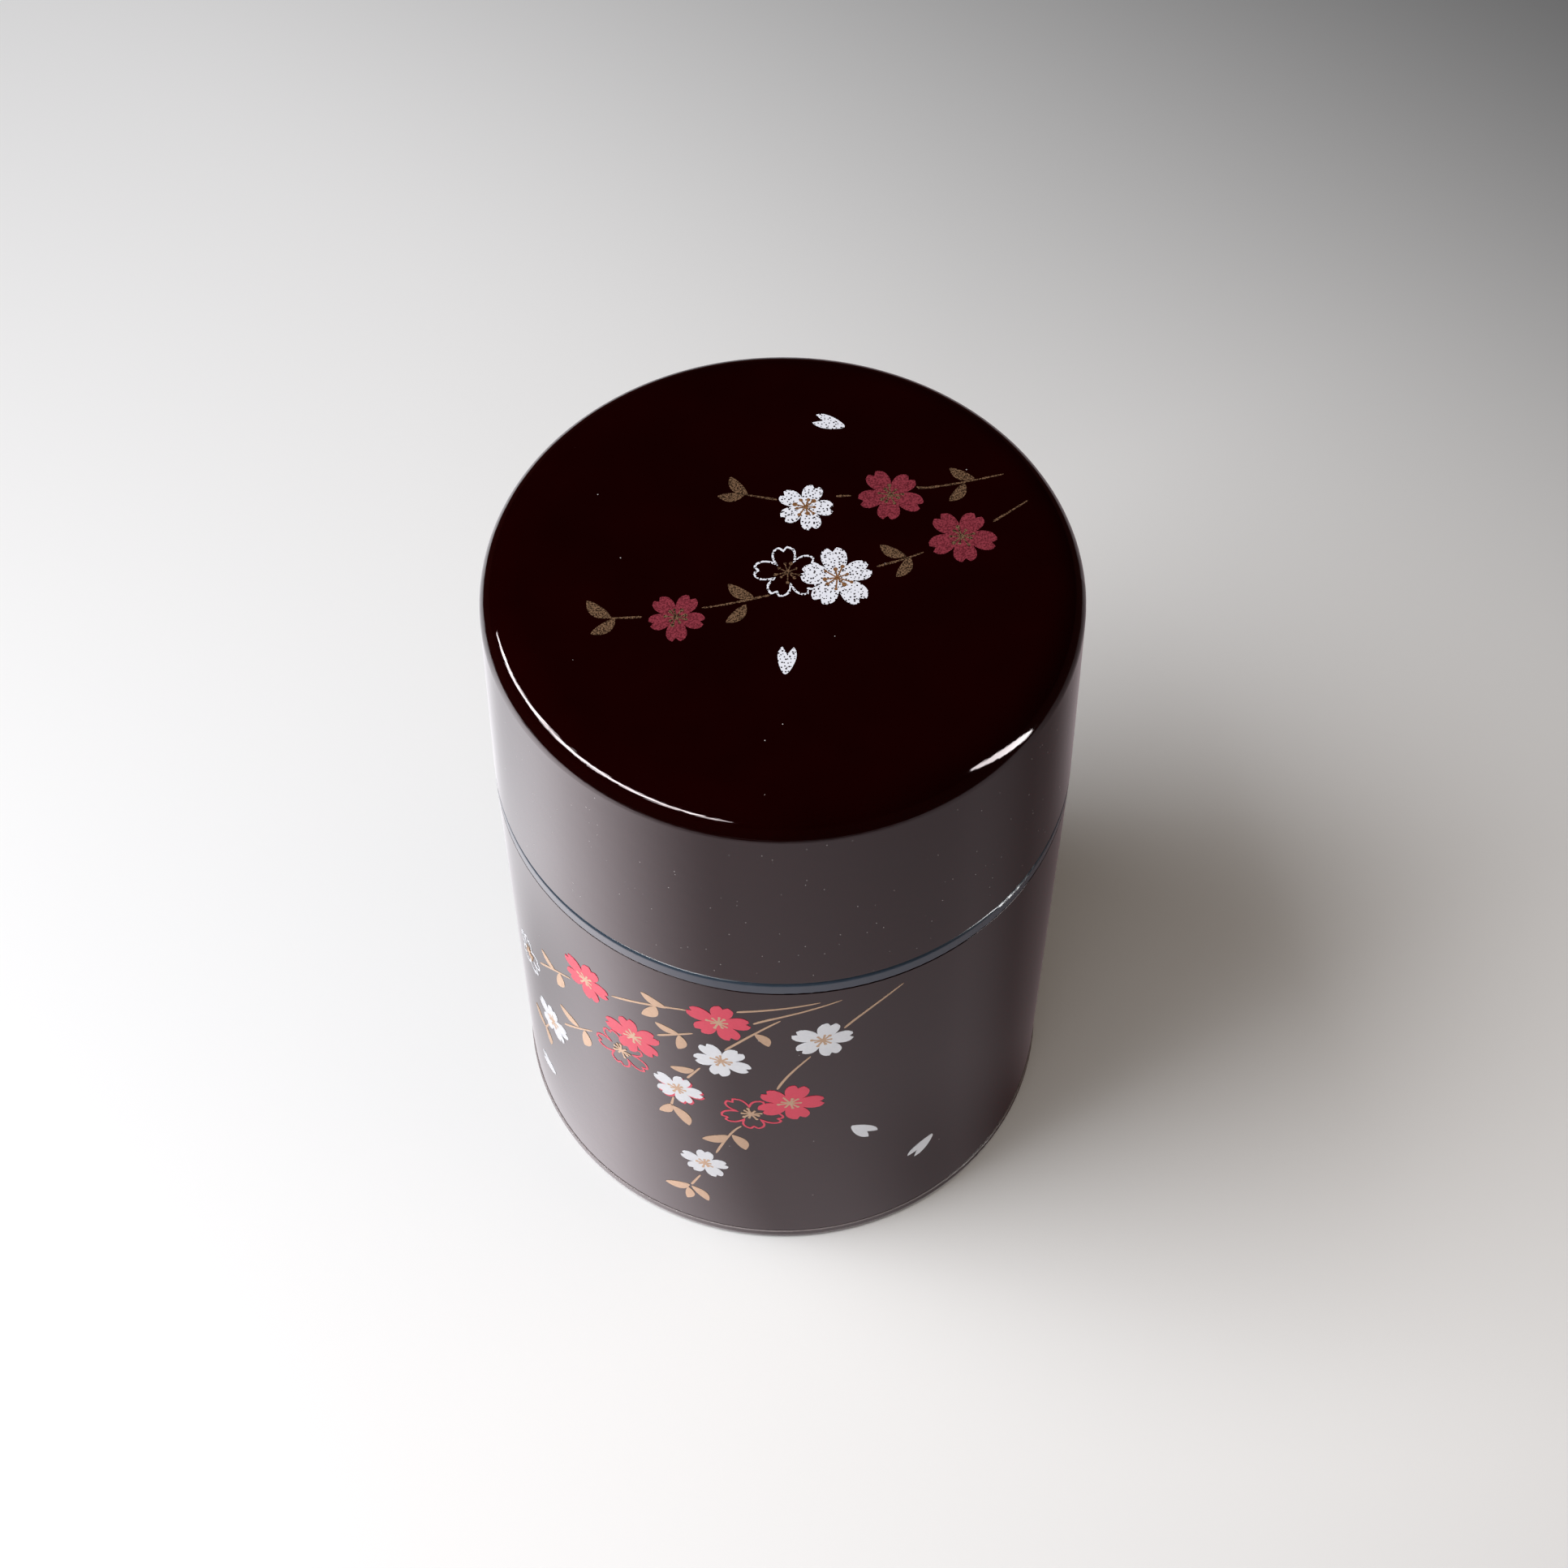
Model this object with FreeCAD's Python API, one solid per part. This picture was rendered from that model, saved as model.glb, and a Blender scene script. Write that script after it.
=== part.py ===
import FreeCAD, Part
import math
import os

# Tea caddy, in millimetres, +Z up, origin at the centre of the foot.
# A lacquered sleeve and its base cap hold an inner canister, whose straight neck stands above the sleeve.
# A seal ring lies on the sleeve's rim round the neck, the lid drops over the neck onto the ring,
# and an inner lid with a knob plugs the canister's mouth. Every piece is turned about Z.

# Outer form
seam_radius = 40.0  # outside of the sleeve's rim, the seal ring and the lid's rim
body_height = 72.0  # floor to the sleeve's rim
body_draft = 0.5  # how much the sleeve narrows towards its foot, on the radius
lid_height = 37.4  # lid's rim to its flat top
lid_draft = 0.7  # how much the lid narrows towards its top, on the radius
lid_round = 5.2  # shoulder between the lid's side and its top
lid_rim_round = 0.25  # outer edge of the lid's rim
edge_round = 0.2  # broken edges of the smaller pieces and inside the sleeve
rim_round = 0.1  # edges of the sleeve's rim

# Walls
sleeve_wall = 2.2  # at the rim
canister_wall = 1.8
canister_floor = 1.8
canister_foot_round = 1.0
canister_inner_round = 4.0
lip_round = 0.4  # edges of the canister's mouth and of the lid's bore
lid_top = 2.6
lid_inner_round = 3.0

# Base cap
base_edge = 2.0  # height of the band that shows under the sleeve
foot_lip = 0.15  # how far that band stands proud of the sleeve, as a quarter-round
foot_round = 1.6
foot_width = 5.0  # flat ring that the caddy stands on, with its rounded edges
foot_recess = 1.2
foot_inner_round = 0.4
base_web = 2.0
seat_height = 1.3  # spigot above the web, which carries the canister
spigot_wall = 2.0

# Seal ring
seal_height = 2.6
seal_round = 0.8  # upper outer edge
seal_foot_round = 0.3  # lower outer edge
bead_radius = 0.7  # bead inside the ring that snaps into the neck's groove

# Inner lid
inner_lid_web = 1.4
dish_depth = 0.6  # shallow dish inside the raised border
border_width = 5.0
border_round = 0.3
flange_inset = 0.4  # flange edge behind the outside of the neck
plug_depth = 9.0
plug_wall = 1.6
plug_lead = 0.7  # rounded lower edge that finds the mouth
boss_radius = 5.0
boss_depth = 2.5

# Knob
knob_height = 9.0
knob_radius = 8.0
knob_head = 4.0  # height of the head at its widest
knob_foot_radius = 5.5
knob_waist_radius = 4.2
knob_waist_height = 3.4
knob_waist_round = 2.5
knob_underside_round = 1.0
knob_crown_round = 1.9
knob_spigot_radius = 2.5

# Clearances between pieces
nest_clearance = 0.2  # canister in the sleeve
spigot_clearance = 0.1  # base cap's spigot in the sleeve
seal_clearance = 0.1  # ring on the neck, and its bead in the groove
lid_clearance = 0.15  # lid on the neck
plug_clearance = 0.15  # inner lid in the mouth
knob_clearance = 0.05  # knob's spigot in its hole
lid_headroom = 6.2  # lid's ceiling above the knob

# Radii that follow
sleeve_bore = seam_radius - sleeve_wall
sleeve_foot_radius = seam_radius - body_draft
neck_radius = sleeve_bore - nest_clearance
canister_bore = neck_radius - canister_wall
base_radius = sleeve_foot_radius + foot_lip
spigot_radius = sleeve_bore - spigot_clearance
seal_bore = neck_radius + seal_clearance
lid_bore = neck_radius + lid_clearance
lid_top_radius = seam_radius - lid_draft
plug_radius = canister_bore - plug_clearance
flange_radius = neck_radius - flange_inset
knob_hole_radius = knob_spigot_radius + knob_clearance

# Heights that follow
web_top = foot_recess + base_web
canister_seat = web_top + seat_height
seal_top = body_height + seal_height
bead_height = body_height + seal_height / 2
lid_crown = seal_top + lid_height
lid_ceiling = lid_crown - lid_top
knob_top = lid_ceiling - lid_headroom
dish_floor = knob_top - knob_height
border_top = dish_floor + dish_depth
neck_top = dish_floor - inner_lid_web
boss_bottom = neck_top - boss_depth

SHARP = 0.0
AXIS = 0.0
TINY = 1e-6


def rounded_corner(before, at, after, rounding):
    """Start, middle and end of the arc that rounds a corner; it takes at most half of each side."""
    to_before = before - at
    to_after = after - at
    half_angle = to_before.getAngle(to_after) / 2
    reach = min(rounding / math.tan(half_angle), to_before.Length / 2, to_after.Length / 2)
    radius = reach * math.tan(half_angle)
    to_before.normalize()
    to_after.normalize()
    inward = to_before + to_after
    inward.normalize()
    middle = at + inward * (radius / math.sin(half_angle) - radius)
    return at + to_before * reach, middle, at + to_after * reach


def turned(section):
    """Solid turned about Z from the corners of its half section, each (radius, height, rounding)."""
    points = [FreeCAD.Vector(radius, 0, height) for radius, height, rounding in section]
    arcs = []
    for i, (radius, height, rounding) in enumerate(section):
        if rounding > SHARP:
            arcs.append(rounded_corner(points[i - 1], points[i], points[(i + 1) % len(points)], rounding))
        else:
            arcs.append((points[i],))
    edges = []
    for i, arc in enumerate(arcs):
        start = arcs[i - 1][-1]
        if (arc[0] - start).Length > TINY:
            edges.append(Part.LineSegment(start, arc[0]).toShape())
        if len(arc) > 1:
            edges.append(Part.Arc(*arc).toShape())
    face = Part.Face(Part.Wire(edges))
    return face.revolve(FreeCAD.Vector(0, 0, 0), FreeCAD.Vector(0, 0, 1), 360)


def bead(radius):
    """Round bead on the seal ring's bore, at the middle of the ring's height."""
    return Part.makeTorus(seal_bore, radius, FreeCAD.Vector(0, 0, bead_height))


def base_cap():
    recess_radius = base_radius - foot_width
    spigot_bore = spigot_radius - spigot_wall
    return turned([
        (AXIS, foot_recess, SHARP),
        (recess_radius, foot_recess, foot_inner_round),
        (recess_radius, 0, foot_inner_round),
        (base_radius, 0, foot_round),
        (base_radius, base_edge, foot_lip),
        (spigot_radius, base_edge, SHARP),
        (spigot_radius, canister_seat, edge_round),
        (spigot_bore, canister_seat, edge_round),
        (spigot_bore, web_top, foot_inner_round),
        (AXIS, web_top, SHARP),
    ])


def body_sleeve():
    return turned([
        (sleeve_bore, base_edge, edge_round),
        (sleeve_foot_radius, base_edge, SHARP),
        (seam_radius, body_height, rim_round),
        (sleeve_bore, body_height, rim_round),
    ])


def inner_canister():
    cup = turned([
        (AXIS, canister_seat, SHARP),
        (neck_radius, canister_seat, canister_foot_round),
        (neck_radius, neck_top, lip_round),
        (canister_bore, neck_top, lip_round),
        (canister_bore, canister_seat + canister_floor, canister_inner_round),
        (AXIS, canister_seat + canister_floor, SHARP),
    ])
    return cup.cut(bead(bead_radius + seal_clearance))


def seal_ring():
    band = turned([
        (seal_bore, body_height, edge_round),
        (seam_radius, body_height, seal_foot_round),
        (seam_radius, seal_top, seal_round),
        (seal_bore, seal_top, edge_round),
    ])
    return band.fuse(bead(bead_radius))


def inner_lid():
    plug_bore = plug_radius - plug_wall
    plug_bottom = neck_top - plug_depth
    dish_radius = flange_radius - border_width
    return turned([
        (knob_hole_radius, boss_bottom, SHARP),
        (boss_radius, boss_bottom, border_round),
        (boss_radius, neck_top, border_round),
        (plug_bore, neck_top, border_round),
        (plug_bore, plug_bottom, edge_round),
        (plug_radius, plug_bottom, plug_lead),
        (plug_radius, neck_top, SHARP),
        (flange_radius, neck_top, edge_round),
        (flange_radius, border_top, border_round),
        (dish_radius, border_top, border_round),
        (dish_radius, dish_floor, border_round),
        (knob_hole_radius, dish_floor, SHARP),
    ])


def inner_lid_knob():
    return turned([
        (AXIS, boss_bottom, SHARP),
        (knob_spigot_radius, boss_bottom, edge_round),
        (knob_spigot_radius, dish_floor, SHARP),
        (knob_foot_radius, dish_floor, edge_round),
        (knob_waist_radius, dish_floor + knob_waist_height, knob_waist_round),
        (knob_radius, knob_top - knob_head, knob_underside_round),
        (knob_radius, knob_top, knob_crown_round),
        (AXIS, knob_top, SHARP),
    ])


def lid_shell():
    return turned([
        (AXIS, lid_crown, SHARP),
        (lid_top_radius, lid_crown, lid_round),
        (seam_radius, seal_top, lid_rim_round),
        (lid_bore, seal_top, lip_round),
        (lid_bore, lid_ceiling, lid_inner_round),
        (AXIS, lid_ceiling, SHARP),
    ])


os.makedirs("parts", exist_ok=True)
for make in (base_cap, body_sleeve, inner_canister, seal_ring, inner_lid, inner_lid_knob, lid_shell):
    make().exportStep(f"parts/{make.__name__}.step")
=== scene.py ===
import math

import bmesh
import bpy
import numpy as np
from mathutils import Matrix, Vector


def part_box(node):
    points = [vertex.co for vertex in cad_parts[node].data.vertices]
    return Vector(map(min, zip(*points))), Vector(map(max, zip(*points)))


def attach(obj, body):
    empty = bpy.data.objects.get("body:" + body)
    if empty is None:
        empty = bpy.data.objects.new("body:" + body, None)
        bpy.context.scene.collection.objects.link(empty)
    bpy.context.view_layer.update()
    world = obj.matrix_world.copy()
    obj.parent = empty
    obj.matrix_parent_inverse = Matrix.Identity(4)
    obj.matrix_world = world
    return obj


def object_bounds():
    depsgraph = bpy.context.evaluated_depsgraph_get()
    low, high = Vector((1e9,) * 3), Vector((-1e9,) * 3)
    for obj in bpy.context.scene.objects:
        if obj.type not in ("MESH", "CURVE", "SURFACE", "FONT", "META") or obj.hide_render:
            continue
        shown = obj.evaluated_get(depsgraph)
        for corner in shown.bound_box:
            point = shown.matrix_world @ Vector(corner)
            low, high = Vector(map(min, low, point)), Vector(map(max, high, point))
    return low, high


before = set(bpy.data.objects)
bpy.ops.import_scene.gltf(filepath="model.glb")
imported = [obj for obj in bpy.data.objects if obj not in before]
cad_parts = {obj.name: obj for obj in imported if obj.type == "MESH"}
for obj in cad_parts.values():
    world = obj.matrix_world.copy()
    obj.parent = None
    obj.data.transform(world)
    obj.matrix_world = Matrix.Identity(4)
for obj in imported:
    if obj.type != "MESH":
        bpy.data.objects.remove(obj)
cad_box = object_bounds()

# Tea caddy in metres, +Z up, standing on the floor with its printed front towards -Y.
# The turned pieces come with the frame and get their finishes here. The spray of blossoms on the lid and
# the sleeve is a set of thin ink films, drawn flat in millimetres and wrapped onto what carries them.

MM = 0.001

# Heights of the ink films over the lacquer, in millimetres
ROOT = 0.05  # how far every film reaches below the surface, so that it lies tight on it
LINE_FILM = 0.025
UNDER_FILM = 0.03
FILL_FILM = 0.04
STAMEN_FILM = 0.055
DOT_FILM = 0.06
PAD_RINGS = (0.2, 0.45, 0.7, 0.9, 1.0)  # rings of points over a filled shape, as shares of its outline

# Lines, with widths in millimetres
STROKE_POINTS = 48
STROKE_END_POWER = 10  # how late a stroke rounds off towards its ends
WANDER = (2.9, 1.3)  # two waves that together make an edge uneven, in radians from point to point
LID_LINE = 0.26
SLEEVE_LINE = 0.32
LID_STEM_WIDTHS = (0.34, 0.2)
SLEEVE_STEM_WIDTHS = (0.26, 0.42)
LID_ROUGH = 0.35  # how far the edges of lines wander on the lid, as a share of their width
SMOOTH = 0

# Blossoms
PETALS = 5
PETAL_POINTS = 48
HALF_PETAL = 180 / PETALS  # in degrees, as the notch is
PETAL_DEPTH = 0.56  # share of the radius that the outline falls by, from a petal's axis to the gap
PETAL_POWER = 3.0
NOTCH_DEPTH = 0.15
NOTCH_ANGLE = 7.0
PETAL_SWAY = 0.05  # hand-drawn difference in length from petal to petal, as a share
SWAY_STEP = 2.3  # from petal to petal along the wave that makes it, in radians
PETAL_LEAN = 3.0  # the same in direction, in degrees
LEAN_STEP = 1.7
PETAL_RAGGED = 0.012  # share of the radius that a petal's edge wanders by

# Stamens
STAMENS = 9
STAMEN_LEAN = 6.0  # hand-drawn difference in direction, in degrees
STAMEN_LEAN_STEP = 2.1
STAMEN_SPREAD = 0.06  # the same in reach, as a share of the blossom's radius
STAMEN_SPREAD_STEP = 2.7
DOT_SPREAD = 0.2  # and in the size of the dots, as a share
DOT_SPREAD_STEP = 4
DOT_POINTS = 16
HEART = 0.3  # radius of the spot that the filaments start from
# Reach as a share of the blossom's radius, width of a filament and radius of its dot
LID_STAMENS = (0.35, 0.21, 0.27)
LID_PINK_STAMENS = (0.32, 0.2, 0.24)
LID_LINED_STAMENS = (0.34, 0.15, 0.21)
SLEEVE_STAMENS = (0.3, 0.3, 0.22)

# Leaves and loose petals, with width, bow and notch as shares of their length
LEAF_POINTS = 40
LEAF_WIDTH = 0.42
LEAF_POWER = 1.6  # how much a leaf thins towards its ends
LEAF_BOW = 0.1
LOOSE_POINTS = 60
LOOSE_WIDTH = 0.58
LOOSE_FOOT = 0.55  # how full the petal is at its foot
LOOSE_SWELL = 0.6  # and how much fuller at its tip
LOOSE_NOTCH = 0.34  # depth of the V in the tip
LOOSE_NOTCH_HALF = 0.16  # and half its width

# Print on the lid, from the middle of its top: x to the right, y away from the front.
# A blossom is x, y, radius and turn; a leaf runs from its foot to its tip; a petal is x, y, length and turn.
LID_WHITE = [(3.0, 10.05, 3.8, -2), (7.0, -1.75, 4.8, 24)]
LID_PINK = [(14.1, 12.1, 4.3, 49), (23.2, 5.1, 4.45, 61), (-13.55, -8.1, 3.75, 57)]
LID_LINED = [(0.65, -0.85, 4.2, 29)]
LID_STEMS = [
    [(-0.7, 11.3), (-5.0, 12.2)],
    [(7.0, 11.9), (9.0, 12.0)],
    [(17.6, 13.6), (20.0, 13.5), (25.0, 14.6), (29.1, 15.7)],
    [(27.4, 7.6), (29.5, 9.2), (32.1, 11.2)],
    [(12.1, 0.1), (15.5, 1.3), (18.2, 2.5)],
    [(-1.5, -4.5), (-7.0, -6.0), (-10.3, -6.6)],
    [(-17.9, -8.1), (-22.0, -8.3)],
]
LID_LEAVES = [
    [(-4.6, 12.2), (-6.9, 15.2)],
    [(-5.0, 12.2), (-8.5, 11.9)],
    [(25.2, 14.9), (22.0, 16.7)],
    [(23.9, 14.1), (21.8, 11.1)],
    [(15.9, 1.8), (12.6, 3.7)],
    [(16.4, 1.7), (14.6, -1.6)],
    [(-3.7, -5.0), (-7.0, -2.8)],
    [(-4.7, -6.1), (-7.2, -9.0)],
    [(-21.8, -8.2), (-25.0, -5.5)],
    [(-21.3, -8.4), (-24.3, -10.8)],
]
LID_PETALS = [(6.1, 24.7, 4.6, 160), (0.5, -14.9, 4.6, 85)]

# Print on the sleeve: distance round it from the front, to the right, and height above the floor
SLEEVE_PINK = [(-8.7, 63.0, 4.5, 10), (-29.8, 58.0, 4.4, -2), (-21.8, 50.7, 4.6, 34), (1.0, 42.2, 4.85, 0)]
SLEEVE_PINK_UNDER = [(-14.95, 41.0, 3.8, 3)]
SLEEVE_WHITE = [
    (5.4, 59.3, 4.4, 4),
    (-8.5, 52.6, 4.2, 50),
    (-15.2, 41.3, 3.8, 3),
    (-11.6, 20.9, 3.75, 17),
    (-39.8, 33.5, 4.0, 15),
]
SLEEVE_PINK_LINED = [(-4.5, 38.5, 4.4, 61), (-24.1, 44.7, 4.4, 48)]
SLEEVE_WHITE_LINED = [(-46.0, 43.7, 3.6, 20)]
SLEEVE_STEMS = [
    [(5.0, 69.4), (-1.7, 67.9), (-6.2, 66.6)],
    [(7.9, 69.3), (0.3, 66.3), (-4.0, 63.9)],
    [(-0.3, 65.1), (-3.9, 61.2), (-8.0, 55.7)],
    [(16.5, 69.4), (11.6, 65.3), (8.3, 61.7)],
    [(3.8, 55.1), (1.0, 50.5), (-0.8, 46.1)],
    [(-13.2, 64.2), (-17.5, 62.6), (-25.0, 58.8)],
    [(-33.2, 54.2), (-37.2, 51.4), (-41.7, 47.2)],
    [(-12.4, 58.4), (-15.0, 56.6), (-17.8, 54.5)],
    [(-11.6, 49.3), (-13.6, 45.3)],
    [(-15.9, 38.3), (-16.3, 35.9)],
    [(-5.9, 34.5), (-7.6, 31.5), (-9.8, 24.9)],
    [(-12.4, 16.6), (-13.9, 12.7)],
    [(-29.5, 44.2), (-36.2, 37.8)],
    [(-41.5, 30.2), (-43.0, 27.0)],
]
SLEEVE_LEAVES = [
    [(-3.8, 61.3), (-1.9, 58.1)],
    [(-16.1, 63.0), (-19.9, 64.5)],
    [(-17.7, 62.3), (-20.0, 58.5)],
    [(-37.0, 51.4), (-40.5, 52.6)],
    [(-35.7, 52.4), (-36.7, 48.2)],
    [(-14.5, 57.1), (-18.0, 57.9)],
    [(-14.4, 56.8), (-14.7, 52.9)],
    [(-12.5, 48.2), (-16.1, 46.9)],
    [(-16.4, 35.8), (-18.3, 32.6)],
    [(-16.2, 35.6), (-13.7, 31.3)],
    [(-7.9, 31.0), (-11.8, 28.4)],
    [(-7.3, 31.5), (-5.4, 27.5)],
    [(-14.2, 12.4), (-18.2, 10.5)],
    [(-14.4, 11.4), (-14.7, 7.9)],
    [(-13.9, 12.2), (-11.3, 8.9)],
    [(-32.5, 41.8), (-36.8, 42.5)],
    [(-31.2, 42.3), (-31.6, 37.8)],
    [(-42.8, 27.2), (-46.3, 29.2)],
    [(-43.0, 27.6), (-41.8, 23.8)],
]
SLEEVE_PETALS = [(11.7, 31.0, 5.4, 310), (21.4, 18.7, 5.4, 225), (-44.0, 14.9, 5.0, 186)]
FOOT_LIP = 0.15  # how far the base cap stands proud of the sleeve's foot

# Finishes, with sizes and heights in millimetres
LACQUER_DARK = (0.0045, 0.0001, 0.0001)
LACQUER_WARM = (0.0075, 0.0002, 0.0002)
# Painted highlight: pale colour along the base cap's upper edge, standing in for the thin light line there
PAINTED_EDGE_HIGHLIGHT = (0.3, 0.26, 0.265)
DUST = (0.42, 0.40, 0.40)
DUST_SPACING = 1.1  # between the points where a speck may lie
DUST_SIZE = 0.07  # radius of a speck, as a share of that
DUST_SHARE = 0.015  # share of the points that have a speck
DUST_MORE = 0.42  # added to that share on the lid's side
TURNING_WIDTH = 0.18
TURNING_LENGTH = 40  # how many times as long as wide a mark of turning is
LID_SIDE_RISE = (-0.6, 0.9)  # heights over the lid's rim between which its side begins
SHOULDER_RISE = (-7.0, -4.5)  # heights over the lid's top between which its shoulder begins
PAINTED_HIGHLIGHT_RISE = (-0.18, -0.1)  # heights over the sleeve's foot between which the base cap takes on its painted highlight

# Camera, in metres and degrees
CAMERA_PLACE = (0.0, -0.2467, 0.418)
CAMERA_TILT = 34.81
CAMERA_TURN = -0.04
CAMERA_LENS = 70.0  # lens and sensor in millimetres
CAMERA_SENSOR = 36.0

# Floor, in metres: a white sheet that ends along an ellipse
FLOOR_SIZE = 4.0
FLOOR_GAP = 0.02 * MM  # under the foot
SHEET_MIDDLE = (0.0, 0.1)
SHEET_REACH = (0.195, 0.235)
SHEET_EDGE = (1.0, 1.3)  # squared shares of the reach between which the lacquer sees the sheet end
BACKDROP_EDGE = (1.4, 6.0)  # and between which the sheet turns into the backdrop for the camera
SHEET_WHITE = (0.88, 0.88, 0.89)
SHEET_PAINTED_SHADE = (0.20, 0.20, 0.205)
SHADE_ANGLE = 51.0  # painted shade: the sheet's colour darkens in this direction from +X, towards its back right corner
SHADE_REACH = (0.079, 0.358)  # between these distances

# Painted reflection: the sheet as the lacquer mirrors it glows with a brightness of its own, standing in for
# the lit sheet and the caddy's shadow on it. Its brightness turns about a point: it starts at GLOW_START and
# changes by each amount between two directions, in degrees from the front towards the left.
GLOW_MIDDLE = (0.01, -0.025)
GLOW_START = 0.10
GLOW_CHANGES = {
    "everywhere": [(0.22, -112, -74), (0.47, -90, 30), (1.65, 30, 88), (-0.73, 135, 175)],
    # painted shadow: the reflection darkens close to the foot at the right, where the caddy's shadow lies
    "close": [(-0.12, 0, -60)],
    "near": [(-1.6, 78, 114)],
    "far": [(-1.35, 92, 130), (0.2, -118, -150)],
}
GLOW_CLOSE = (0.04, 0.018)  # distances between which a zone takes hold; near is all that isn't far
GLOW_FAR = (0.065, 0.1)
GLOW_PEAK = (3.0, 2.65, 2.77)
GLOW_BEHIND = (3.28, 3.24, 3.38)  # the same behind the caddy's left, where it shows along the outline
GLOW_TURN = (40, 140)  # directions between which the one becomes the other
# colour of the painted reflection where it is darkest
GLOW_DARK = (0.035, 0.012, 0.010)

# Room and lamps, in metres
PALE = 0.8  # backdrop, for the camera
DIM = 0.048  # room round the caddy
DARK = 0.003  # room, as the lacquer mirrors it
AIM = (0.0, 0.0, 0.06)
# Soft lamps light the set: middle, side of the square, watts and colour
SOFT_LAMPS = {
    "left_softbox": ((-0.291, -0.073, 0.49), 0.35, 3.42, (1.0, 1.0, 1.0)),
    "front_softbox": ((-0.093, -0.372, 0.231), 0.29, 0.38, (1.0, 0.97, 0.94)),
    "right_softbox": ((0.143, -0.020, 0.206), 0.17, 0.07, (1.0, 0.78, 0.58)),
}
# Bars make the highlights on the lid's shoulder: both ends, thickness and watts
BAR_LAMPS = {
    "left_bar": ((-0.280, 0.100, 0.156), (-0.074, -0.288, 0.156), 0.018, 0.70),
    "right_bar": ((0.214, -0.134, 0.156), (0.250, -0.035, -0.001), 0.034, 0.32),
}


class Socket:
    """An output of a node. Arithmetic with it adds Math nodes, so that a pattern reads as a formula."""

    def __init__(self, nodes, output):
        self.nodes = nodes
        self.output = output

    def also(self, name):
        """Another output of the same node."""
        return Socket(self.nodes, self.output.node.outputs[name])

    def maths(self, operation, first, second):
        return self.nodes.add("ShaderNodeMath", {"operation": operation}, {0: first, 1: second})

    def __add__(self, other):
        return self.maths("ADD", self, other)

    def __radd__(self, other):
        return self.maths("ADD", other, self)

    def __sub__(self, other):
        return self.maths("SUBTRACT", self, other)

    def __rsub__(self, other):
        return self.maths("SUBTRACT", other, self)

    def __mul__(self, other):
        return self.maths("MULTIPLY", self, other)

    def __rmul__(self, other):
        return self.maths("MULTIPLY", other, self)

    def __truediv__(self, other):
        return self.maths("DIVIDE", self, other)

    def __pow__(self, other):
        return self.maths("POWER", self, other)

    def __lt__(self, other):
        return self.maths("LESS_THAN", self, other)

    def __gt__(self, other):
        return self.maths("GREATER_THAN", self, other)


class Nodes:
    """The node tree of a finish, of the floor or of the world."""

    # Colour sockets of a Mix node, by number because its numbers and vectors have sockets of the same names
    MIX_FIRST = 6
    MIX_SECOND = 7
    MIX_RESULT = 2

    def __init__(self, tree):
        self.tree = tree

    def add(self, kind, settings, sockets, output=0):
        """One node: its settings, then the values or links of its sockets. Gives one of its outputs."""
        node = self.tree.nodes.new(kind)
        for name, value in settings.items():
            setattr(node, name, value)
        self.fill(node, sockets)
        return Socket(self, node.outputs[output])

    def fill(self, node, sockets):
        """Values or links of a node's sockets."""
        for name, value in sockets.items():
            if isinstance(value, Socket):
                self.tree.links.new(value.output, node.inputs[name])
            else:
                node.inputs[name].default_value = value

    def place(self):
        """The point's own coordinates, in metres."""
        return self.add("ShaderNodeTexCoord", {}, {}, "Object")

    def axes(self):
        """The same as three numbers."""
        x = self.add("ShaderNodeSeparateXYZ", {}, {0: self.place()})
        return x, x.also("Y"), x.also("Z")

    def clouds(self, size, detail=2.0):
        """Soft pattern from 0 to 1, with patches of about that size."""
        sockets = {"Vector": self.place(), "Scale": 1 / (size * MM), "Detail": detail}
        return self.add("ShaderNodeTexNoise", {}, sockets)

    def rings(self, size, drawn_out):
        """Soft pattern of lines that run round the axis, so many times as long as they are wide."""
        x, y, z = self.axes()
        radius = (x * x + y * y) ** 0.5
        line = self.add("ShaderNodeCombineXYZ", {}, {"X": radius, "Y": z, "Z": (x - y) / drawn_out})
        return self.add("ShaderNodeTexNoise", {}, {"Vector": line, "Scale": 1 / (size * MM)})

    def above(self, level, rise):
        """0 to 1 with the height, between two heights over a level, all in millimetres."""
        low, high = rise
        x, y, z = self.axes()
        return self.step(z, (level + low) * MM, (level + high) * MM)

    def scatter(self, size, dimensions="3D"):
        """Distance from the nearest of a scatter of points that far apart, as a share of that. A 2-D scatter
        is for level surfaces."""
        sockets = {"Vector": self.place(), "Scale": 1 / (size * MM)}
        return self.add("ShaderNodeTexVoronoi", {"voronoi_dimensions": dimensions}, sockets)

    def chance(self, scatter):
        """A number from 0 to 1 for each of those points."""
        return self.add("ShaderNodeSeparateColor", {}, {0: scatter.also("Color")})

    def step(self, value, start, end):
        """0 before the start, 1 past the end and a smooth rise between them. The start may be the larger."""
        sockets = {"Value": value, "From Min": start, "From Max": end}
        return self.add("ShaderNodeMapRange", {"interpolation_type": "SMOOTHSTEP"}, sockets)

    def mix(self, share, first, second):
        """Colour that goes from the first to the second, each a plain colour or a pattern."""
        first, second = (each if isinstance(each, Socket) else (*each, 1) for each in (first, second))
        sockets = {0: share, self.MIX_FIRST: first, self.MIX_SECOND: second}
        return self.add("ShaderNodeMix", {"data_type": "RGBA"}, sockets, self.MIX_RESULT)

    def bump(self, height, depth):
        """Surface relief of that depth in millimetres."""
        return self.add("ShaderNodeBump", {}, {"Height": height, "Distance": depth * MM})


def finish(name, make):
    """A material whose Principled surface is filled with what make() returns."""
    material = bpy.data.materials.new(name)
    material.use_nodes = True
    nodes = Nodes(material.node_tree)
    nodes.fill(material.node_tree.nodes["Principled BSDF"], make(nodes))
    return material


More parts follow.
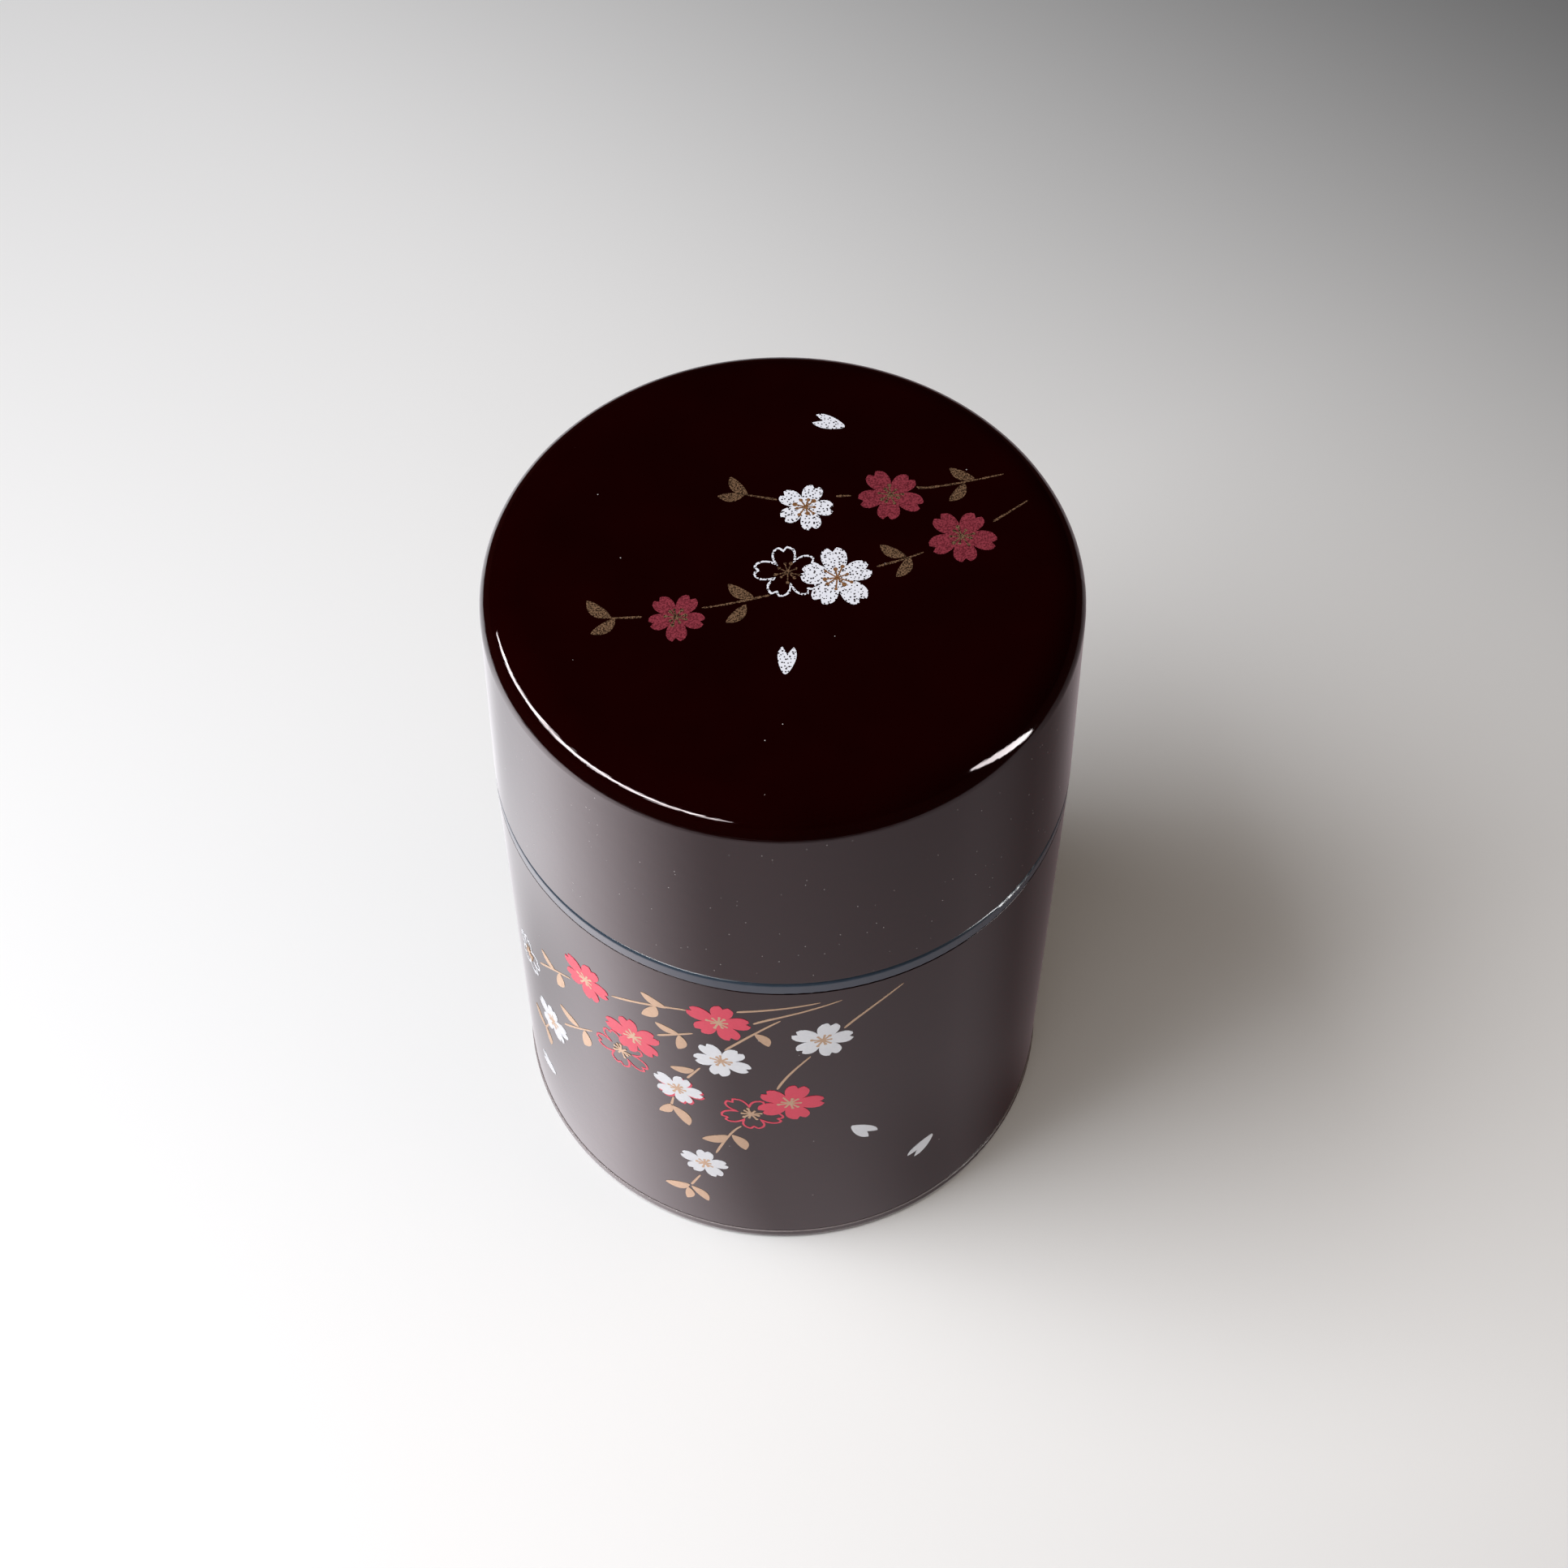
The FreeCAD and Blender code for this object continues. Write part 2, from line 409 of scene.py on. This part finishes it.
def lacquer(nodes):
    """Mirror-gloss near-black maroon with faint clouding, a trace of waviness, specks of dust, mostly on the
    lid's side, and the marks of turning on the lid's shoulder."""
    shoulder = nodes.above(lid_top, SHOULDER_RISE)
    lid_side = nodes.above(lid_rim, LID_SIDE_RISE) - shoulder
    specks = nodes.scatter(DUST_SPACING)
    dust = (specks < DUST_SIZE) * (nodes.chance(specks) > 1 - DUST_SHARE - DUST_MORE * lid_side)
    colour = nodes.mix(nodes.clouds(9.0), LACQUER_DARK, LACQUER_WARM)
    marks = shoulder * nodes.rings(TURNING_WIDTH, TURNING_LENGTH)
    return {
        "Base Color": nodes.mix(dust, colour, DUST),
        "Roughness": 0.03 + 0.03 * nodes.clouds(3.0) + 0.4 * dust,
        "IOR": 1.45,
        "Specular Tint": (1.0, 0.88, 0.9, 1),
        "Normal": nodes.bump(nodes.clouds(2.2, 4.0) + 0.9 * marks, 0.008),
    }


def satin_lacquer(nodes):
    """A greyer maroon, rubbed to a satin, with a painted highlight: a pale colour along its upper edge."""
    colour = nodes.mix(nodes.clouds(4.0), (0.034, 0.024, 0.024), (0.046, 0.033, 0.033))
    return {
        # painted highlight: the base cap's upper edge turns pale
        "Base Color": nodes.mix(nodes.above(sleeve_low.z, PAINTED_HIGHLIGHT_RISE), colour, PAINTED_EDGE_HIGHLIGHT),
        "Roughness": 0.2 + 0.1 * nodes.clouds(1.5),
        "IOR": 1.45,
        "Normal": nodes.bump(nodes.clouds(0.8), 0.004),
    }


def silicone(nodes):
    """Smooth slate-navy silicone with a slight bloom."""
    return {
        "Base Color": nodes.mix(nodes.clouds(2.5, 3.0), (0.030, 0.046, 0.068), (0.040, 0.060, 0.088)),
        "Roughness": 0.15 + 0.08 * nodes.clouds(1.2),
        "IOR": 1.5,
    }


def resin(nodes):
    """Satin dark brown moulded resin with a fine grain."""
    return {
        "Base Color": nodes.mix(nodes.clouds(6.0, 4.0), (0.022, 0.009, 0.007), (0.036, 0.015, 0.011)),
        "Roughness": 0.3 + 0.14 * nodes.clouds(1.5),
        "IOR": 1.5,
        "Normal": nodes.bump(nodes.clouds(0.5), 0.006),
    }


def white_ink(nodes):
    """Chalk-white ink with a fine tooth."""
    return {
        "Base Color": nodes.mix(nodes.clouds(0.7), (0.76, 0.78, 0.84), (0.86, 0.87, 0.91)),
        "Roughness": 0.4 + 0.15 * nodes.clouds(0.3),
        "Normal": nodes.bump(nodes.clouds(0.25), 0.006),
    }


def specked_white_ink(nodes):
    """White ink that the dark lacquer shows through in small dots of uneven size."""
    dots = nodes.scatter(0.46, "2D")
    bare = nodes.step(dots - 0.15 * nodes.chance(dots), 0.2, 0.1)
    ink = nodes.mix(nodes.clouds(0.7), (0.62, 0.64, 0.72), (0.705, 0.72, 0.79))
    return {
        "Base Color": nodes.mix(bare, ink, LACQUER_WARM),
        "Roughness": 0.45 - 0.2 * bare,
        "Normal": nodes.bump(1 - bare, 0.006),
    }


def pink_ink(nodes):
    """Pearly cherry-pink ink."""
    return {
        "Base Color": nodes.mix(nodes.clouds(0.4), (0.70, 0.042, 0.092), (0.80, 0.058, 0.115)),
        "Metallic": 0.15,
        "Roughness": 0.4 + 0.12 * nodes.clouds(0.3),
        "Normal": nodes.bump(nodes.clouds(0.25), 0.006),
    }


def specked_pink_ink(nodes):
    """Pearly pink ink with a sandy grain."""
    grain = nodes.step(nodes.clouds(0.22, 3.0), 0.36, 0.62)
    return {
        "Base Color": nodes.mix(grain, (0.125, 0.014, 0.023), (0.31, 0.046, 0.069)),
        "Metallic": 0.3,
        "Roughness": 0.5 - 0.16 * grain,
        "Normal": nodes.bump(grain, 0.008),
    }


def gold_ink(nodes):
    """Soft gold ink."""
    return {
        "Base Color": nodes.mix(nodes.clouds(0.4), (0.53, 0.36, 0.235), (0.67, 0.475, 0.32)),
        "Metallic": 0.5,
        "Roughness": 0.4 + 0.14 * nodes.clouds(0.3),
        "Normal": nodes.bump(nodes.clouds(0.25), 0.006),
    }


def specked_gold_ink(nodes):
    """Gold ink with a grain of fine flakes over the lacquer."""
    grain = nodes.step(nodes.clouds(0.2, 3.0), 0.4, 0.6)
    return {
        "Base Color": nodes.mix(grain, (0.05, 0.025, 0.015), (0.53, 0.31, 0.18)),
        "Metallic": 0.7,
        "Roughness": 0.5 - 0.14 * grain,
        "Normal": nodes.bump(grain, 0.01),
    }


def brown_gold_ink(nodes):
    """Brownish gold ink of the stamens on the lid."""
    grain = nodes.step(nodes.clouds(0.2, 3.0), 0.36, 0.62)
    return {
        "Base Color": nodes.mix(grain, (0.14, 0.062, 0.024), (0.31, 0.145, 0.06)),
        "Metallic": 0.25,
        "Roughness": 0.5 - 0.1 * grain,
        "Normal": nodes.bump(grain, 0.008),
    }


def skin(rings, ends=None):
    """Closed skin over rings of points: quads join each ring to the next. With two end points a fan of
    triangles closes each end; without them the last ring joins the first, as on a hoop."""
    rows, around = rings.shape[:2]
    index = np.arange(rows * around).reshape(rows, around)
    here = index if ends is None else index[:-1]
    beyond = np.roll(index, -1, axis=0) if ends is None else index[1:]
    quads = np.stack([here, np.roll(here, -1, axis=1), np.roll(beyond, -1, axis=1), beyond], axis=-1)
    points = rings.reshape(-1, 3)
    if ends is None:
        return points, quads.reshape(-1, 4), np.zeros((0, 3), int)
    first = np.full(around, rows * around)
    fans = [
        np.stack([first, np.roll(index[0], -1), index[0]], axis=-1),
        np.stack([first + 1, index[-1], np.roll(index[-1], -1)], axis=-1),
    ]
    return np.concatenate([points, ends]), quads.reshape(-1, 4), np.concatenate(fans)


def raised(flat, heights):
    """Flat points with their heights as a third coordinate."""
    heights = np.broadcast_to(np.asarray(heights, float), flat.shape[:-1])
    return np.concatenate([flat, heights[..., None]], axis=-1)


def pad(outline, film):
    """Film inside a closed outline: rings grow from its middle out to it, all on top, with point = middle +
    share x (outline - middle); the outline is repeated below the surface, where a fan closes it."""
    shares = np.array([*PAD_RINGS, PAD_RINGS[-1]])[:, None, None]
    heights = np.array([film] * len(PAD_RINGS) + [-ROOT])[:, None]
    middle = outline.mean(axis=0)
    rings = raised(middle + shares * (outline - middle), heights)
    ends = raised(np.array([middle, middle]), [film, -ROOT])
    return skin(rings, ends)


def section(path, half, film):
    """Flat rectangle at each point of a path, square to it: path +/- half width x sideways normal."""
    along = np.gradient(path, axis=0)
    along /= np.linalg.norm(along, axis=1, keepdims=True)
    side = np.stack([-along[:, 1], along[:, 0]], axis=1) * half
    corners = [(path + side, film), (path - side, film), (path - side, -ROOT), (path + side, -ROOT)]
    return np.stack([raised(flat, height) for flat, height in corners], axis=1)


def uneven(count, amount):
    """Factors that wander about 1 by up to that amount, as a brush or a screen leaves an edge: the product
    of a wave in the point's number and a wave in its square."""
    i = np.arange(count)[:, None]
    return 1 + amount * np.sin(WANDER[0] * i) * np.sin(WANDER[1] * i * i)


def hoop(outline, width, rough, film):
    """Line round a closed outline: the section carried round it and joined to itself."""
    wrapped = np.concatenate([outline[-1:], outline, outline[:1]])
    return skin(section(wrapped, width / 2 * uneven(len(wrapped), rough), film)[1:-1])


def stroke(points, widths, rough, film):
    """Brush line through a few points: the section carried along the polynomial through them, its half width
    going evenly from the first width to the last and rounding off to nothing at both ends like a
    superellipse."""
    points = np.array(points, float)
    knots = np.linspace(0, 1, len(points))
    share = (1 - np.cos(np.linspace(0, np.pi, STROKE_POINTS))) / 2
    weights = [
        np.prod([(share - other) / (knot - other) for other in knots if other != knot], axis=0)
        for knot in knots
    ]
    path = np.stack(weights, axis=1) @ points
    ends = np.sqrt(1 - np.abs(2 * share - 1) ** STROKE_END_POWER)
    half = (widths[0] + (widths[1] - widths[0]) * share) / 2 * ends
    rings = section(path, half[:, None] * uneven(len(path), rough), film)[1:-1]
    middle = (film - ROOT) / 2
    return skin(rings, raised(path[[0, -1]], [middle, middle]))


def turns(count):
    """Angles in even steps round a full turn, in radians."""
    return np.linspace(0, 2 * np.pi, count, endpoint=False)


def heading(angle):
    """Flat unit vectors in the directions of angles."""
    return np.stack([np.cos(angle), np.sin(angle)], axis=-1)


def blossom(x, y, radius, turn):
    """Outline of five notched petals: off a petal's axis the reach falls as a power of the angle, and a
    straight V is taken out of its tip. Length and direction sway from petal to petal, and the edge is
    ragged."""
    petal = np.repeat(np.arange(PETALS), PETAL_POINTS)
    off = np.tile(np.linspace(-HALF_PETAL, HALF_PETAL, PETAL_POINTS, endpoint=False), PETALS)
    share = np.abs(off) / HALF_PETAL
    notch = NOTCH_DEPTH * np.clip(1 - np.abs(off) / NOTCH_ANGLE, 0, 1)
    reach = 1 - PETAL_DEPTH * share**PETAL_POWER - notch
    reach *= 1 + PETAL_SWAY * np.sin(SWAY_STEP * petal + turn) * (1 - share**2)
    reach *= uneven(len(reach), PETAL_RAGGED)[:, 0]
    lean = PETAL_LEAN * np.sin(LEAN_STEP * petal + turn) * (1 - share**2)
    angle = np.radians(turn + 2 * HALF_PETAL * petal + off + lean)
    return np.array([x, y]) + radius * reach[:, None] * heading(angle)


def along_axis(foot, tip, along, across):
    """Points at a share along the line from foot to tip and at a share of its length to the left of it."""
    foot = np.array(foot, float)
    axis = np.array(tip, float) - foot
    left = np.array([-axis[1], axis[0]])
    return foot + along[:, None] * axis + across[:, None] * left


def leaf(foot, tip):
    """Lens outline: at an angle t the point lies (1 - cos t) / 2 along the leaf, and its half width goes
    with a power of the sine of t, bowed to one side."""
    t = turns(LEAF_POINTS)
    along = (1 - np.cos(t)) / 2
    across = LEAF_WIDTH / 2 * np.sign(np.sin(t)) * np.abs(np.sin(t)) ** LEAF_POWER
    return along_axis(foot, tip, along, across + LEAF_BOW * 4 * along * (1 - along))


def loose_petal(x, y, length, turn):
    """Outline of a single petal: a lens, (1 - cos t) / 2 along and the sine of t across, that is fuller
    towards its tip, with a straight V taken out of the tip."""
    t = turns(LOOSE_POINTS)
    along = (1 - np.cos(t)) / 2
    across = LOOSE_WIDTH / 2 * np.sin(t) * (LOOSE_FOOT + LOOSE_SWELL * along)
    notch = LOOSE_NOTCH * np.clip(1 - np.abs(across) / LOOSE_NOTCH_HALF, 0, 1) * (along > 0.5)
    half = length / 2 * heading(math.radians(turn))
    middle = np.array([x, y])
    return along_axis(middle - half, middle + half, along - notch, across)


def disc(middle, radius):
    """Circle of points round a middle."""
    return middle + radius * heading(turns(DOT_POINTS))


def stamens(x, y, radius, turn, reach, width, dot):
    """Filaments that spread from a spot in the middle of a blossom, each with a dot at its tip. Direction,
    reach and dot differ a little from one to the next."""
    middle = np.array([x, y])
    shapes = [pad(disc(middle, HEART), DOT_FILM)]
    for i in range(STAMENS):
        lean = STAMEN_LEAN * math.sin(STAMEN_LEAN_STEP * i)
        spread = STAMEN_SPREAD * math.sin(STAMEN_SPREAD_STEP * i + turn)
        size = dot * (1 + DOT_SPREAD * math.sin(DOT_SPREAD_STEP * i + turn))
        way = heading(math.radians(turn + 360 / STAMENS * i + lean))
        tip = middle + radius * (reach + spread) * way
        shapes.append(stroke([middle + HEART / 2 * way, tip], (width, width), SMOOTH, STAMEN_FILM))
        shapes.append(pad(disc(tip, size), DOT_FILM))
    return shapes


def film(name, shapes, wrap, material, body):
    """One ink on one surface: its shapes joined, wrapped onto the surface and given to the body beneath."""
    points, quads, fans = zip(*shapes)
    starts = np.cumsum([0] + [len(each) for each in points])
    quads = np.concatenate([each + start for each, start in zip(quads, starts)])
    fans = np.concatenate([each + start for each, start in zip(fans, starts)])
    wrapped = wrap(*np.concatenate(points).T) * MM
    mesh = bpy.data.meshes.new(name)
    mesh.from_pydata(wrapped.tolist(), [], quads.tolist() + fans.tolist())
    work = bmesh.new()
    work.from_mesh(mesh)
    bmesh.ops.recalc_face_normals(work, faces=work.faces)
    work.to_mesh(mesh)
    work.free()
    mesh.materials.append(material)
    piece = bpy.data.objects.new(name, mesh)
    bpy.context.scene.collection.objects.link(piece)
    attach(piece, body)


# What carries the print, in millimetres, as it comes with the frame
lid_rim, lid_top = (corner.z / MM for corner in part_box("lid_shell"))
sleeve_low, sleeve_high = (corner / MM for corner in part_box("body_sleeve"))
rim_radius = sleeve_high.x
foot_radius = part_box("base_cap")[1].x / MM - FOOT_LIP
print_radius = (rim_radius + foot_radius) / 2


def onto_lid(x, y, height):
    """The flat top: the film's height is added to the lid's."""
    return np.stack([x, y, lid_top + height], axis=1)


def onto_sleeve(around, up, height):
    """The sleeve's slight cone: the radius goes evenly from foot to rim, plus the film's height."""
    share = (up - sleeve_low.z) / (sleeve_high.z - sleeve_low.z)
    radius = foot_radius + (rim_radius - foot_radius) * share + height
    angle = around / print_radius
    return np.stack([radius * np.sin(angle), -radius * np.cos(angle), up], axis=1)


def sprays(stems, widths, rough, leaves):
    """Stems with their leaves."""
    shapes = [stroke(points, widths, rough, LINE_FILM) for points in stems]
    return shapes + [pad(leaf(*ends), LINE_FILM) for ends in leaves]


def blossoms(layout, height):
    """Filled blossoms."""
    return [pad(blossom(*spot), height) for spot in layout]


def lined(layout, width, rough):
    """Blossoms in outline."""
    return [hoop(blossom(*spot), width, rough, LINE_FILM) for spot in layout]


def loose(layout):
    """Fallen petals."""
    return [pad(loose_petal(*spot), FILL_FILM) for spot in layout]


def hearts(layout, style):
    """Stamens of each blossom."""
    return [shape for spot in layout for shape in stamens(*spot, *style)]


def print_lid():
    """The spray on the lid's top, in grainy inks."""
    white = finish("specked_white_ink", specked_white_ink)
    pink = finish("specked_pink_ink", specked_pink_ink)
    gold = finish("specked_gold_ink", specked_gold_ink)
    brown = finish("brown_gold_ink", brown_gold_ink)
    sprigs = sprays(LID_STEMS, LID_STEM_WIDTHS, LID_ROUGH, LID_LEAVES)
    film("lid_print_white", blossoms(LID_WHITE, FILL_FILM) + loose(LID_PETALS), onto_lid, white, "lid")
    film("lid_print_white_lines", lined(LID_LINED, LID_LINE, LID_ROUGH), onto_lid, white, "lid")
    film("lid_print_pink", blossoms(LID_PINK, FILL_FILM), onto_lid, pink, "lid")
    golden = sprigs + hearts(LID_LINED, LID_LINED_STAMENS) + hearts(LID_PINK, LID_PINK_STAMENS)
    film("lid_print_gold", golden, onto_lid, gold, "lid")
    film("lid_print_stamens", hearts(LID_WHITE, LID_STAMENS), onto_lid, brown, "lid")


def print_sleeve():
    """The spray that hangs down the sleeve, in smooth inks."""
    white = finish("white_ink", white_ink)
    pink = finish("pink_ink", pink_ink)
    gold = finish("gold_ink", gold_ink)
    pinks = blossoms(SLEEVE_PINK, FILL_FILM) + blossoms(SLEEVE_PINK_UNDER, UNDER_FILM)
    whites = blossoms(SLEEVE_WHITE, FILL_FILM) + loose(SLEEVE_PETALS)
    pink_lines = lined(SLEEVE_PINK_LINED, SLEEVE_LINE, SMOOTH)
    white_lines = lined(SLEEVE_WHITE_LINED, SLEEVE_LINE, SMOOTH)
    sprigs = sprays(SLEEVE_STEMS, SLEEVE_STEM_WIDTHS, SMOOTH, SLEEVE_LEAVES)
    centres = hearts(SLEEVE_PINK + SLEEVE_WHITE + SLEEVE_PINK_LINED + SLEEVE_WHITE_LINED, SLEEVE_STAMENS)
    film("sleeve_print_pink", pinks, onto_sleeve, pink, "body")
    film("sleeve_print_white", whites, onto_sleeve, white, "body")
    film("sleeve_print_pink_lines", pink_lines, onto_sleeve, pink, "body")
    film("sleeve_print_white_lines", white_lines, onto_sleeve, white, "body")
    film("sleeve_print_gold", sprigs, onto_sleeve, gold, "body")
    film("sleeve_print_stamens", centres, onto_sleeve, gold, "body")


def dress_turned_pieces():
    """Finishes of the pieces that come with the frame."""
    finishes = {
        finish("maroon_lacquer", lacquer): ["lid_shell", "body_sleeve"],
        finish("satin_lacquer", satin_lacquer): ["base_cap"],
        finish("navy_silicone", silicone): ["seal_ring"],
        finish("brown_resin", resin): ["inner_canister", "inner_lid", "inner_lid_knob"],
    }
    for material, names in finishes.items():
        for name in names:
            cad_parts[name].material_slots[0].material = material


def painted_sheet_reflection(nodes, x, y, reach):
    """Painted reflection: the sheet as the lacquer mirrors it, an emission brightest at the left, darker
    where the caddy's shadow lies and dark past its edge.
    """
    left = GLOW_MIDDLE[0] - x
    front = GLOW_MIDDLE[1] - y
    turn = nodes.add("ShaderNodeMath", {"operation": "ARCTAN2"}, {0: left, 1: front}) * math.degrees(1)
    distance = (left * left + front * front) ** 0.5
    far = nodes.step(distance, *GLOW_FAR)
    zones = {"everywhere": 1, "close": nodes.step(distance, *GLOW_CLOSE), "near": 1 - far, "far": far}
    glow = GLOW_START
    for zone, changes in GLOW_CHANGES.items():
        for amount, start, end in changes:
            glow = glow + zones[zone] * amount * nodes.step(turn, start, end)
    on_sheet = 1 - nodes.step(reach, *SHEET_EDGE)
    peak = nodes.mix(nodes.step(turn, *GLOW_TURN), GLOW_PEAK, GLOW_BEHIND)
    tint = nodes.mix(on_sheet * glow / GLOW_PEAK[0], GLOW_DARK, peak)
    return nodes.add("ShaderNodeEmission", {}, {"Color": tint})


def floor_finish():
    """White sheet with painted shade that darkens it towards its back right, on a floor that is pale to the
    camera. Glossy finishes see a painted reflection instead: the sheet glows to them with a brightness of
    its own."""
    material = bpy.data.materials.new("pale_floor")
    material.use_nodes = True
    nodes = Nodes(material.node_tree)
    x, y, z = nodes.axes()
    across = (x - SHEET_MIDDLE[0]) / SHEET_REACH[0]
    away = (y - SHEET_MIDDLE[1]) / SHEET_REACH[1]
    reach = across * across + away * away
    shade_way = x * math.cos(math.radians(SHADE_ANGLE)) + y * math.sin(math.radians(SHADE_ANGLE))
    paper_with_painted_shade = nodes.mix(nodes.step(shade_way, *SHADE_REACH), SHEET_WHITE, SHEET_PAINTED_SHADE)
    sheet = nodes.add("ShaderNodeBsdfDiffuse", {}, {"Color": paper_with_painted_shade})
    backdrop = nodes.add("ShaderNodeEmission", {}, {"Color": (PALE, PALE, PALE, 1)})
    painted_reflection = painted_sheet_reflection(nodes, x, y, reach)
    rays = nodes.add("ShaderNodeLightPath", {}, {}, "Is Camera Ray")
    past_sheet = rays * nodes.step(reach, *BACKDROP_EDGE)
    pale = nodes.add("ShaderNodeMixShader", {}, {0: past_sheet, 1: sheet, 2: backdrop})
    # glossy rays see the painted reflection instead of the lit sheet
    shown = nodes.add("ShaderNodeMixShader", {}, {0: rays.also("Is Glossy Ray"), 1: pale, 2: painted_reflection})
    nodes.fill(material.node_tree.nodes["Material Output"], {"Surface": shown})
    return material


def lay_floor():
    """Level square just under the foot."""
    half = FLOOR_SIZE / 2
    level = cad_box[0].z - FLOOR_GAP
    corners = [(-half, -half, level), (half, -half, level), (half, half, level), (-half, half, level)]
    mesh = bpy.data.meshes.new("floor")
    mesh.from_pydata(corners, [], [(0, 1, 2, 3)])
    mesh.materials.append(floor_finish())
    floor = bpy.data.objects.new("floor", mesh)
    bpy.context.scene.collection.objects.link(floor)


def light_world():
    """Pale all round for the camera, a dim room for the caddy and a darker one for its lacquer to mirror."""
    world = bpy.data.worlds.new("studio")
    bpy.context.scene.world = world
    world.use_nodes = True
    nodes = Nodes(world.node_tree)
    rays = nodes.add("ShaderNodeLightPath", {}, {}, "Is Camera Ray")
    room = DIM + (PALE - DIM) * rays + (DARK - DIM) * rays.also("Is Glossy Ray")
    nodes.fill(world.node_tree.nodes["Background"], {"Color": room})


def area_lamp(name, shape, middle, along, length, thickness, power):
    """Flat lamp with its length in one direction, turned about it to face the caddy."""
    back = middle - Vector(AIM)
    back = (back - along * back.dot(along)).normalized()
    light = bpy.data.lights.new(name, "AREA")
    light.shape = shape
    light.size = length
    light.size_y = thickness
    light.energy = power
    lamp = bpy.data.objects.new(name, light)
    turn = Matrix((along, back.cross(along), back)).transposed()
    lamp.matrix_world = Matrix.Translation(middle) @ turn.to_4x4()
    bpy.context.scene.collection.objects.link(lamp)
    return lamp


def light_studio():
    """Softboxes that light the set but don't show in the lacquer, and bars that only show in it."""
    for name, (middle, side, power, colour) in SOFT_LAMPS.items():
        along = Vector((0, 0, 1)).cross(Vector(middle)).normalized()
        lamp = area_lamp(name, "RECTANGLE", Vector(middle), along, side, side, power)
        lamp.data.color = colour
        lamp.visible_glossy = False
    for name, (start, end, thickness, power) in BAR_LAMPS.items():
        run = Vector(end) - Vector(start)
        middle = Vector(start) + run / 2
        lamp = area_lamp(name, "ELLIPSE", middle, run.normalized(), run.length, thickness, power)
        lamp.visible_diffuse = False


def set_camera():
    """Camera at the photograph's viewing angle."""
    data = bpy.data.cameras.new("camera")
    data.lens = CAMERA_LENS
    data.sensor_width = CAMERA_SENSOR
    camera = bpy.data.objects.new("camera", data)
    camera.location = CAMERA_PLACE
    camera.rotation_euler = (math.radians(CAMERA_TILT), 0, math.radians(CAMERA_TURN))
    bpy.context.scene.collection.objects.link(camera)
    bpy.context.scene.camera = camera


dress_turned_pieces()
print_lid()
print_sleeve()
lay_floor()
light_world()
light_studio()
set_camera()
bpy.context.scene.view_settings.view_transform = "Standard"
